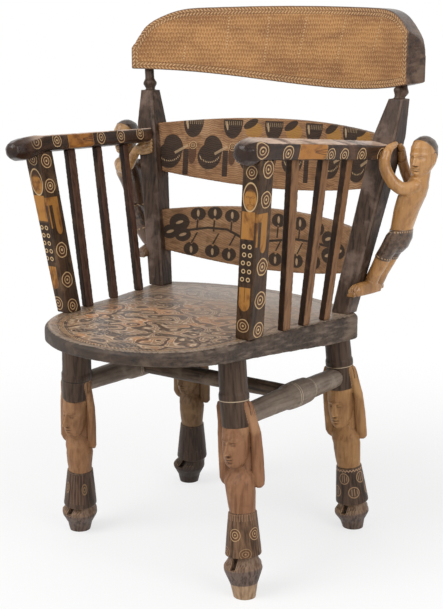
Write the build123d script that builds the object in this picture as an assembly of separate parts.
from build123d import *
import os
from collections import namedtuple
from math import cos, sin, sqrt, tau

# A carved Chokwe armchair in dark stained wood, in millimetres. The chair faces -Y,
# +X is on the viewer's right, and the floor is z = 0 under the middle of its outline.
# Pieces of one side are modelled with positive x and mirrored for the left. The legs,
# the side stretchers and the two arms are hand-made, each to its own sizes.

# ---- driving dimensions -------------------------------------------------------------

SEAT_TOP = 440
SEAT_THICKNESS = 45
SEAT_UNDER = SEAT_TOP - SEAT_THICKNESS
SEAT_FRONT = -313          # y of the front edge
SEAT_BACK = 248            # y of the back edge's middle
SEAT_FRONT_RIM = 22        # the underside rises towards the front edge
SEAT_LEVEL_FROM = 80       # y from which the underside is level
SEAT_CORNER = 30           # radius of the rear corners
SEAT_ROUNDING = 6
# The seat's edge from the rear left corner round the front to the rear right corner.
SEAT_EDGE = ((-240, 182), (-224, 80), (-213, 1), (-208, -100), (-182, -201), (-104, -279),
             (20, SEAT_FRONT), (130, -281), (181, -222), (205, -100), (220, 1), (234, 80),
             (249, 158))

# One row for each leg: where its foot stands, how far its middle sways to +X, and the
# heights of the widest ring, hem, waist, elbows, chin, crown and band.
LegSize = namedtuple("LegSize", "foot sway ring hem waist elbow chin crown band")
LEGS = {
    "front_left_leg": LegSize((-213, -100), 3, 38, 56, 128, 175, 208, 271, 313),
    "front_right_leg": LegSize((215, -151), 4, 51, 75, 155, 194, 232, 298, 342),
    "rear_left_leg": LegSize((-208, 235), 6, 39, 60, 136, 186, 207, 274, 318),
    "rear_right_leg": LegSize((205, 224), 2, 34, 55, 131, 182, 211, 282, 327),
}
FOOT_RADIUS = 20
LEG_TOP_X = 177            # where every leg meets the level of the seat's underside
LEG_TOP_Y = {"front": -136, "rear": 194}
LEG_RADIUS = 24
RING_RADIUS = 33.5
HEM_RADIUS = 31.5
TENON_LEG = (14, 15)       # radius, and the wood left above it in the seat

STRETCHER_HEIGHT = {"left": 300, "right": 305}
STRETCHER_END_RADIUS = 17.5
BULGE_RADIUS = 24.5
BULGE_Y = 48
TENON_STRETCHER = (11, 12)  # radius, and distance of its end from the leg's axis
CROSS_RADIUS = 15.5
TENON_CROSS = (9, 10)      # radius, and distance of its end from the stretcher's axis

# Each arm in positive x: the foot and head of its post, the post's width and depth at each,
# the knob's tip, the middle of the board over the post and at the back. A spindle has x and
# y of its foot, y of its head and its depth.
ArmSize = namedtuple("ArmSize", "post_foot post_head post_sizes tip front rear spindles")
ARMS = {
    "right": ArmSize((190, -106, 440), (241, -154, 745), ((30, 42), (35, 38)),
                     (235, -200, 757), (241, -157, 760), (270, 180, 734),
                     ((205, -25, -69, 23), (212, 26, 12, 21), (219, 82, 80, 20))),
    "left": ArmSize((190, -138, 440), (241, -154, 727), ((27, 36), (35, 38)),
                    (234, -231, 736), (241, -157, 741), (270, 180, 734),
                    ((193, -85, -66, 20), (204, -1, 17, 16), (213, 84, 102, 16))),
}
ARM_TILT = 0.19            # fall of the arm's top towards the outside
ARM_SIZE = (45, 28)
ARM_TENON = (16, 16)
SPINDLE_WIDTH = 13

BACK_POST_FOOT = (215.6, 155.2, SEAT_TOP)
BACK_POST_HEAD = (284.5, 212.4, 823)
BACK_POST_SIZE = (36, 45)  # at the seat, and under the capital
CAPITAL_SIZE = (45, 30)    # a tapering block above the arms, its foot and its head
CAPITAL_FOOT = 752
POST_EDGE = 3.5            # chamfer of the post's long edges
NECK_RADIUS = 9.5
BEAD_RADIUS = 14
BEAD_HEIGHT = 836

SLAT_THICKNESS = 15
SLAT_LEAN = 0.149          # the back leans as the posts do
SLAT_DEEP = 10             # how far a slat's end goes into its post
# Middle of the front face, radius of the bow, and heights at the middle and at the ends.
SlatSize = namedtuple("SlatSize", "front bow low_mid low_end high_mid high_end level")
UPPER_SLAT = SlatSize(245, 593, 641, 665, 774, 758, 710)
LOWER_SLAT = SlatSize(215, 529, 486, 511, 603, 588, 550)

CREST_FRONT = 275          # y of the middle of its front face
CREST_BACK = 313
CREST_BOW = 588
CREST_HALF = 311           # x of the front face's ends
CREST_TOP = 986
CREST_LOW = (865, 853, 837, 852)  # under edge from the left end to the right one
CREST_SHOULDER = 884       # height where the right shoulder meets its end

SIDES = {"right": 1, "left": -1}
BIG = 1200                 # larger than the chair, for cutting tools


# ---- helpers ------------------------------------------------------------------------

def at_height(low, high, z):
    """Point at height z on the straight line through two points."""
    share = (z - low[2]) / (high[2] - low[2])
    return tuple(a + (b - a) * share for a, b in zip(low, high))


def at_depth(front, rear, y):
    """Point at depth y on the straight line through two points."""
    share = (y - front[1]) / (rear[1] - front[1])
    return tuple(a + (b - a) * share for a, b in zip(front, rear))


def carved(stations, sides=12, x_dir=(1, 0, 0), z_dir=(0, 0, 1)):
    """Loft through ovals cut in flat facets, as a knife leaves them. A station is the
    oval's centre, its half size along x_dir and its half size across."""
    angles = [tau * (step + 0.5) / sides for step in range(sides)]
    sections = []
    for x, y, z, wide, deep in stations:
        oval = Polygon(*[(wide * cos(a), deep * sin(a)) for a in angles], align=None)
        sections.append(Plane(origin=(x, y, z), x_dir=x_dir, z_dir=z_dir) * oval)
    return loft(sections, ruled=True)


def whittled(profile, sides=16):
    """Round bar about Z through (height, radius) pairs, cut in flat facets."""
    return carved([(0, 0, z, radius, radius) for z, radius in profile], sides)


def slanted_bar(low, high, stations, edge=0):
    """Loft through level rectangles centred on a slanting line.
    Each station is a height with the width along X and the depth along Y."""
    sections = []
    for z, wide, deep in stations:
        section = Rectangle(wide, deep)
        if edge:
            section = chamfer(section.vertices(), edge)
        sections.append(Pos(*at_height(low, high, z)) * section)
    return loft(sections, ruled=True)


def rod(start, end, radius):
    """Whittled peg between two points."""
    line = Vector(*end) - Vector(*start)
    return Plane(origin=start, z_dir=line) * whittled([(0, radius), (line.length, radius)], 12)


def join(male, female, tenon):
    """Shoulder the male piece on the female one, add its tenon and cut the mortise."""
    return male - female + tenon, female - tenon


def whole(shape):
    """The shape as one solid, without crumbs that a cut may leave."""
    return shape.solids().sort_by(SortBy.VOLUME)[-1]


def mirrored(piece):
    return mirror(piece, Plane.YZ)


# ---- seat ---------------------------------------------------------------------------

def seat_plank():
    """Thick plank, round in front, its underside rising to a thin front rim."""
    outline = make_face([
        Spline(*SEAT_EDGE),
        ThreePointArc(SEAT_EDGE[-1], (0, SEAT_BACK), SEAT_EDGE[0]),
    ])
    outline = fillet(outline.vertices().filter_by(lambda v: v.Y > 0), SEAT_CORNER)
    plank = Pos(0, 0, SEAT_UNDER) * extrude(outline, SEAT_THICKNESS)
    plank = chamfer(plank.faces().sort_by(Axis.Z)[-1].edges(), SEAT_ROUNDING)
    past = 1.1                 # the cut runs on beyond the front edge
    front = SEAT_LEVEL_FROM + past * (SEAT_FRONT - SEAT_LEVEL_FROM)
    rise = past * (SEAT_THICKNESS - SEAT_FRONT_RIM)
    wedge = Polygon((SEAT_LEVEL_FROM, SEAT_UNDER), (front, SEAT_UNDER + rise),
                    (front, SEAT_UNDER - rise), align=None)
    return plank - extrude(Plane.YZ * wedge, BIG, both=True)


# ---- legs, each a standing figure that bears the seat on its raised hands -----------

def leg_axis(name):
    """Foot and top of a leg's axis."""
    end, side, _ = name.split("_")
    foot = (*LEGS[name].foot, 0)
    return foot, (SIDES[side] * LEG_TOP_X, LEG_TOP_Y[end], SEAT_UNDER)


def swayed(size, stations, sides=12):
    """Carved piece of a leg, moved sideways as the leg's middle sways."""
    middle, half = (size.band + size.ring) / 2, (size.band - size.ring) / 2
    moved = []
    for x, y, z, wide, deep in stations:
        share = max(0, 1 - ((z - middle) / half) ** 4)
        moved.append((x + size.sway * share, y, z, wide, deep))
    return carved(moved, sides)


def figure_feet(size):
    """Two feet side by side on the foot's ring, a dark gap between them."""
    reach, instep, gap, wide = RING_RADIUS, 16, 3, 23
    profile = Polygon(
        (0, size.ring - 2), (-reach, size.ring - 2), (-reach, size.ring + 5),
        (-instep, size.hem + 1), (0, size.hem + 1), align=None)
    foot = Pos(gap, 0, 0) * extrude(Plane.YZ * profile, wide)
    return (foot + mirrored(foot)) & whittled([(0, reach), (size.hem + 1, reach)])


def figure_body(size):
    """Skirt, torso, neck and head of a leg's figure, facing -Y."""
    shoulder = size.chin - 9
    skirt = swayed(size, [(0, 0, size.hem, HEM_RADIUS, HEM_RADIUS),
                          (0, 0, size.waist, LEG_RADIUS, LEG_RADIUS)], 16)
    torso = swayed(size, [
        (0, 0, size.waist - 1, 24, 22), (0, -1, size.waist + 14, 25.5, 22.5),
        (0, -1, shoulder - 16, 29, 23), (0, 0, shoulder, 28.5, 19.5),
        (0, 1, size.chin + 1, 14, 15)])
    face = size.crown - size.chin
    head = swayed(size, [
        (0, -11, size.chin - 1, 8, 9), (0, -7, size.chin + 0.15 * face, 15.5, 16.5),
        (0, -3, size.chin + 0.42 * face, 21, 22),
        (0, -2, size.chin + 0.75 * face, 22, 23), (0, 0, size.crown + 1, 21, 22.5)])
    spine = swayed(size, [
        (0, 7, shoulder - 4, 25, 12), (0, 8, size.chin + 0.4 * face, 27, 14),
        (0, 4, size.crown + 2, 25, 18)], 8)
    return skirt + torso + head + spine


def raised_arm(size, side):
    """Arm of a leg's figure: elbow beside the chest, hand flat on the block above."""
    middle = (size.elbow + size.crown) / 2
    return swayed(size, [
        (side * 32, 6, size.elbow, 4, 8), (side * 33.5, 6, size.elbow + 9, 8.5, 14),
        (side * 33.5, 5, middle, 8, 14), (side * 29.5, 1, size.crown + 3, 7, 11.5),
        (side * 26.5, -4, size.band - 12, 5, 9.5), (side * 25, -5, size.band - 3, 3, 7)], 8)


def leg_blank(name):
    """A leg without its tenon and mortise, built upright and leant to its own line."""
    size = LEGS[name]
    foot, top = leg_axis(name)
    axis = Vector(*top) - Vector(*foot)
    stretch = axis.length / SEAT_UNDER
    size = size._replace(**{key: getattr(size, key) * stretch for key in
                            ("ring", "hem", "waist", "elbow", "chin", "crown", "band")})
    below, above = 12, 45
    base = whittled([
        (-below, FOOT_RADIUS - 3), (size.ring * 0.45, FOOT_RADIUS + 3.5),
        (size.ring - 3, RING_RADIUS), (size.ring + 2, RING_RADIUS), (size.hem + 1, 22)])
    block = swayed(size, [(0, 0, z, radius, radius) for z, radius in (
        (size.crown, LEG_RADIUS), (size.band, 26), (size.band + 10, 26),
        (size.band + 13, 24.5), (axis.length + above, LEG_RADIUS - 0.5))], 16)
    figure = base + figure_feet(size) + figure_body(size) + block
    for side in SIDES.values():
        figure += raised_arm(size, side)
    leaning = Plane(origin=foot, x_dir=(1, 0, 0), z_dir=axis) * figure
    tall = SEAT_TOP - SEAT_FRONT_RIM
    return leaning & (Pos(0, 0, tall / 2) * Box(BIG, BIG, tall))


def leg_tenon(name):
    """Round tenon on the top of a leg, along the leg's own line."""
    radius, cover = TENON_LEG
    foot, top = leg_axis(name)
    below = at_height(foot, top, SEAT_UNDER - 5)
    return rod(below, at_height(foot, top, SEAT_TOP - cover), radius)


# ---- stretchers ---------------------------------------------------------------------

def stretcher_ends(side):
    """Points on the axes of one side's legs where their stretcher meets them."""
    z = STRETCHER_HEIGHT[side]
    return [at_height(*leg_axis(f"{end}_{side}_leg"), z) for end in ("front", "rear")]


def side_stretcher(side, front_leg, rear_leg):
    """Turned bar from the front leg to the rear leg with a bulge for the cross bar.
    Returns the piece and the two legs with their mortises."""
    front, rear = (Vector(*point) for point in stretcher_ends(side))
    line = rear - front
    middle = (BULGE_Y - front.Y) / line.Y * line.length
    swell, half = 19, 30
    bar = whittled([
        (0, STRETCHER_END_RADIUS), (middle - half - 8, swell + 1.5),
        (middle - half, BULGE_RADIUS - 1), (middle, BULGE_RADIUS),
        (middle + half, BULGE_RADIUS - 1), (middle + half + 8, swell + 1),
        (line.length, STRETCHER_END_RADIUS + 0.5)])
    bar = Plane(origin=front, x_dir=(1, 0, 0), z_dir=line) * bar
    radius, inset = TENON_STRETCHER
    ahead = line.normalized()
    reach = RING_RADIUS + 6
    front_tenon = rod(front + ahead * inset, front + ahead * reach, radius)
    rear_tenon = rod(rear - ahead * inset, rear - ahead * reach, radius)
    bar, front_leg = join(bar, front_leg, front_tenon)
    bar, rear_leg = join(whole(bar), rear_leg, rear_tenon)
    return bar, front_leg, rear_leg


def cross_stretcher(left_bar, right_bar):
    """Bar between the bulges. Returns it and the two side stretchers, mortised."""
    left, right = (Vector(*at_depth(*stretcher_ends(side), BULGE_Y))
                   for side in ("left", "right"))
    line = right - left
    bar = whittled([(0, CROSS_RADIUS - 1.5), (line.length / 2, CROSS_RADIUS),
                    (line.length, CROSS_RADIUS - 2)])
    bar = Plane(origin=left, x_dir=(0, 1, 0), z_dir=line) * bar
    radius, inset = TENON_CROSS
    ahead = line.normalized()
    reach = BULGE_RADIUS + 8
    left_tenon = rod(left + ahead * inset, left + ahead * reach, radius)
    right_tenon = rod(right - ahead * inset, right - ahead * reach, radius)
    bar, left_bar = join(bar, left_bar, left_tenon)
    bar, right_bar = join(whole(bar), right_bar, right_tenon)
    return bar, left_bar, right_bar


# ---- arms, in positive x -------------------------------------------------------------

def arm_rest(size):
    """Tilted board with a rounded knob that droops in front of its post."""
    wide, high = ARM_SIZE
    tip, front, rear = (Vector(*point) for point in (size.tip, size.front, size.rear))
    over = rear + (rear - front).normalized() * 14
    # distance along the knob, drop of the centre, width, height and corner radius
    knob = ((0.0, 0, 14, 13, 6), (0.07, 1, 28, 26, 12), (0.25, 2, 38, 36, 16),
            (0.5, 2.5, 42, 40, 17), (0.76, 0.5, 44, 36, 14))
    stations = [(tip + (front - tip) * share - Vector(0, 0, drop), *outline)
                for share, drop, *outline in knob]
    stations.append((front, wide, high, 5))
    stations.append((over, wide - 5, high - 1.5, 5))
    sections = []
    for centre, section_wide, section_high, corner in stations:
        plane = Plane(origin=centre, x_dir=(1, 0, -ARM_TILT), z_dir=rear - front)
        section = Rectangle(section_wide, section_high)
        sections.append(plane * chamfer(section.vertices(), corner * 0.6))
    return loft(sections, ruled=True)


def arm_tenon(size):
    """Square tenon of the arm in the back post's front face."""
    back = Vector(*size.rear) - Vector(*size.front)
    plane = Plane(origin=Vector(*size.rear) - back.normalized() * 12,
                  x_dir=(1, 0, 0), z_dir=back)
    return extrude(plane * Rectangle(*ARM_TENON), 28)


def upright(foot, head, sizes, edge, seat, arm, sink):
    """Bar that stands on the seat and bears the arm, tenoned in both. Sizes are its width
    and depth at each end. Returns it, the seat and the arm with their mortises."""
    (wide, deep), top = sizes
    post = slanted_bar(foot, head, [(SEAT_TOP, wide, deep), (head[2] + 12, *top)], edge)
    slim, short = wide * 0.6, deep * 0.6
    foot_tenon = slanted_bar(foot, head, [(SEAT_TOP - sink, slim, short),
                                          (SEAT_TOP + 5, slim, short)])
    head_tenon = slanted_bar(foot, head, [(head[2] - 20, slim, short),
                                          (head[2] + sink, slim, short)])
    post, seat = join(post, seat, foot_tenon)
    post, arm = join(post, arm, head_tenon)
    return whole(post), seat, arm


def arm_side(side, seat):
    """Arm rest, its post and spindles, and the seat with their mortises."""
    size = ARMS[side]
    arm = arm_rest(size)
    pieces = {}
    pieces["arm_post"], seat, arm = upright(size.post_foot, size.post_head,
                                            size.post_sizes, 1.5, seat, arm, 11)
    for number, (x, y, head_y, depth) in enumerate(size.spindles, 1):
        head = at_depth(size.front, size.rear, head_y)
        low = (*head[:2], head[2] - ARM_SIZE[1] / 2)
        section = (SPINDLE_WIDTH, depth)
        made = upright((x, y, SEAT_TOP), low, (section, section), 1, seat, arm, 14)
        pieces[f"arm_spindle_{number}"], seat, arm = made
    pieces["arm_rest"] = arm
    return pieces, seat


# ---- back ---------------------------------------------------------------------------

def back_post():
    """Square leaning post with a stepped capital and a cut bead under the crest."""
    foot, head = BACK_POST_FOOT, BACK_POST_HEAD
    low, high = BACK_POST_SIZE
    capital, top = CAPITAL_SIZE
    shaft = slanted_bar(foot, head, [
        (SEAT_TOP, low, low), (CAPITAL_FOOT, high, high),
        (CAPITAL_FOOT + 5, capital, capital), (head[2], top, top)], POST_EDGE)
    line = Vector(*head) - Vector(*foot)
    bead, reach = BEAD_HEIGHT - head[2], 45
    neck = whittled([
        (-3, NECK_RADIUS), (bead - 9, NECK_RADIUS), (bead - 1, BEAD_RADIUS),
        (bead + 2, BEAD_RADIUS), (bead + 10, NECK_RADIUS), (reach, NECK_RADIUS)], 12)
    shaft += Plane(origin=head, x_dir=(1, 0, 0), z_dir=line) * neck
    return shaft + slanted_bar(foot, head, [(SEAT_TOP - 28, 24, 24), (SEAT_TOP + 5, 24, 24)])


def post_tenon():
    """Round tenon of the back post in the crest's under edge."""
    foot, head = BACK_POST_FOOT, BACK_POST_HEAD
    return rod(at_height(foot, head, BEAD_HEIGHT + 8), at_height(foot, head, 880), 8)


def bowed_board(front, bow, thickness, low, high, lean):
    """Board bent about a centre in front of it, leaning back as it rises."""
    centre = Pos(0, front - bow)
    ring = centre * Circle(bow + thickness) - centre * Circle(bow)
    sector = ring & Pos(0, front) * Rectangle(2 * CREST_HALF + 60, 300)
    rise = high - low
    return Pos(0, lean * low, low) * extrude(sector, amount=rise, dir=(0, lean, 1))


def back_slat(size):
    """Bowed slat with arched edges, its ends sunk in the back posts."""
    outer = BACK_POST_FOOT[0] - BACK_POST_SIZE[0] / 2 + SLAT_DEEP
    slope = (BACK_POST_HEAD[0] - BACK_POST_FOOT[0]) / (BACK_POST_HEAD[2] - SEAT_TOP)
    slope -= (BACK_POST_SIZE[1] - BACK_POST_SIZE[0]) / 2 / (CAPITAL_FOOT - SEAT_TOP)
    low_x = outer + slope * (size.low_end - SEAT_TOP)
    high_x = outer + slope * (size.high_end - SEAT_TOP)
    outline = make_face([
        ThreePointArc((-low_x, size.low_end), (0, size.low_mid), (low_x, size.low_end)),
        Line((low_x, size.low_end), (high_x, size.high_end)),
        ThreePointArc((high_x, size.high_end), (0, size.high_mid), (-high_x, size.high_end)),
        Line((-high_x, size.high_end), (-low_x, size.low_end)),
    ])
    board = bowed_board(size.front - SLAT_LEAN * size.level, size.bow, SLAT_THICKNESS,
                        size.low_mid - 10, size.high_mid + 10, SLAT_LEAN)
    return board & extrude(Plane.XZ * outline, BIG / 2, both=True)


def crest_rail():
    """Thick bowed crest board with round shoulders, the left one wider."""
    thickness = CREST_BACK - CREST_FRONT
    board = bowed_board(CREST_FRONT, CREST_BOW, thickness, min(CREST_LOW) - 10,
                        CREST_TOP + 10, 0)
    half = CREST_HALF * (CREST_BOW + thickness) / CREST_BOW
    left_low, *lows, right_low = CREST_LOW
    under = Spline((-half, left_low), (-120, lows[0]), (70, lows[1]), (half, right_low))
    right = Spline((225, CREST_TOP - 7), (278, 967), (311, 940), (half, CREST_SHOULDER),
                   tangents=((1, -0.05), (0, -1)))
    left = Spline((-half, left_low + 8), (-312, 907), (-285, 949), (-250, 971),
                  (-190, CREST_TOP - 2), tangents=((0, 1), (1, 0.05)))
    outline = make_face([
        under, Line((half, right_low), (half, CREST_SHOULDER)), right,
        ThreePointArc((225, CREST_TOP - 7), (20, CREST_TOP), (-190, CREST_TOP - 2)), left,
        Line((-half, left_low + 8), (-half, left_low)),
    ])
    board &= extrude(Plane.XZ * outline, BIG / 2, both=True)
    return board & crest_ends(thickness)


def crest_ends(thickness):
    """Wedge that gives the crest its two radial end faces."""
    centre = CREST_FRONT - CREST_BOW
    depth = sqrt(CREST_BOW ** 2 - CREST_HALF ** 2)
    share = (CREST_BOW + 2 * thickness) / CREST_BOW
    wedge = Polygon((0, centre), (CREST_HALF * share, centre + depth * share),
                    (0, centre + share * CREST_BOW + 100),
                    (-CREST_HALF * share, centre + depth * share), align=None)
    return extrude(wedge, BIG)


# ---- climbing figure, in positive x --------------------------------------------------

def climbing_figure():
    """Small person holding on to the outside of a back post, head turned to the front."""
    torso = carved([
        (294, 201, 556, 17, 23), (300, 202, 578, 20, 27), (303, 202, 596, 19, 25),
        (313, 201, 632, 22, 29), (323, 199, 656, 24, 31), (331, 198, 676, 19, 27),
        (335, 198, 688, 9.5, 10), (336, 197, 706, 9, 9)], sides=10)
    head = carved([
        (337, 189, 694, 8, 9), (339, 192, 701, 15, 19), (341, 197, 716, 21, 29),
        (342, 201, 734, 23, 33), (343, 202, 748, 20, 29), (343, 201, 757, 12, 17),
        (343, 201, 761, 5, 7)])
    figure = torso + head + climbing_foot() + braced_foot() + gripping_fingers()
    for near, y, inward in ((1, 183, 0), (-1, 213, 8)):
        figure += carved([
            (299 - inward, y, 588, 11, 12), (290 - inward, y, 556, 13.5, 16),
            (273 - inward, y, 524, 11.5, 14), (262 - inward, y, 500, 9, 11),
            (257 - inward, y, 474, 7.5, 9)], sides=8)
        shoulder = 199 - near * 24
        figure += carved([
            (340, shoulder + near * 6, 674, 7, 8), (328, shoulder, 672, 12, 12),
            (306, shoulder - near * 6, 667, 12, 11), (284, shoulder - near * 5, 668, 9, 9)],
            sides=8, x_dir=(0, 1, 0), z_dir=(-1, 0, 0))
        figure += carved([
            (292, shoulder - near * 6, 660, 7, 8), (289, shoulder - near * 5, 674, 9, 11),
            (287, shoulder, 700, 8, 10), (291, 194 - near * 4, 730, 5, 8),
            (293, 194 - near * 3, 745, 3, 4)], sides=8)
    return figure


def climbing_foot():
    """Near foot, pressed along the post's outer face with its toes to the front."""
    return carved([
        (257, 193, 479, 8, 8), (254, 172, 482, 11, 11), (247, 150, 482, 12, 10),
        (244, 131, 479, 8, 6)], sides=8, x_dir=(1, 0, 0), z_dir=(0, -1, 0))


def braced_foot():
    """Far foot, turned inwards behind the post."""
    return carved([
        (259, 212, 479, 8, 8), (250, 207, 482, 10, 10), (240, 199, 481, 9, 9),
        (233, 192, 479, 6, 6)], sides=8, x_dir=(0, 1, 0), z_dir=(-1, 0, 0))


def gripping_fingers():
    """Fingers of the near hand laid across the post's front face under the arm rest."""
    return carved([
        (292, 171, 698, 8, 12), (276, 168, 703, 7, 11), (257, 167, 709, 5, 8),
        (246, 168, 711, 3, 5)], sides=8, x_dir=(0, 1, 0), z_dir=(-1, 0, 0))


# ---- assembly -----------------------------------------------------------------------

def underframe(seat):
    """Legs and stretchers by name, and the seat with the legs' mortises."""
    pieces = {}
    for name in LEGS:
        pieces[name], seat = join(leg_blank(name), seat, leg_tenon(name))
    bars = {}
    for side in SIDES:
        front, rear = f"front_{side}_leg", f"rear_{side}_leg"
        made = side_stretcher(side, pieces[front], pieces[rear])
        bars[side], pieces[front], pieces[rear] = made
    cross, bars["left"], bars["right"] = cross_stretcher(bars["left"], bars["right"])
    pieces["cross_stretcher"] = cross
    for side, bar in bars.items():
        pieces[f"{side}_side_stretcher"] = bar
    return pieces, seat


def chair():
    """Every piece of the chair by name, each cut to fit its neighbours."""
    pieces, seat = underframe(seat_plank())
    crest = crest_rail()
    slats = {"upper_back_slat": back_slat(UPPER_SLAT), "lower_back_slat": back_slat(LOWER_SLAT)}
    blank = back_post()
    for slat in slats.values():
        blank -= slat
    figure = climbing_figure()
    for side in SIDES:
        here = mirrored if side == "left" else lambda piece: piece
        made, cut_seat = arm_side(side, here(seat))
        post, crest_end = join(blank, here(crest), post_tenon())
        cut_seat -= post
        made["arm_rest"], made["back_post"] = join(made["arm_rest"], post,
                                                   arm_tenon(ARMS[side]))
        made["climbing_figure"] = figure - made["back_post"] - made["arm_rest"]
        seat, crest = here(cut_seat), here(crest_end)
        for name, piece in made.items():
            pieces[f"{side}_{name}"] = here(whole(piece))
    pieces |= {"crest_rail": crest, "seat": seat, **slats}
    return {name: whole(piece) for name, piece in pieces.items()}


os.makedirs("parts", exist_ok=True)
for piece_name, solid in sorted(chair().items()):
    export_step(solid, f"parts/{piece_name}.step")
    print(piece_name, round(solid.volume / 1000), "cm3")
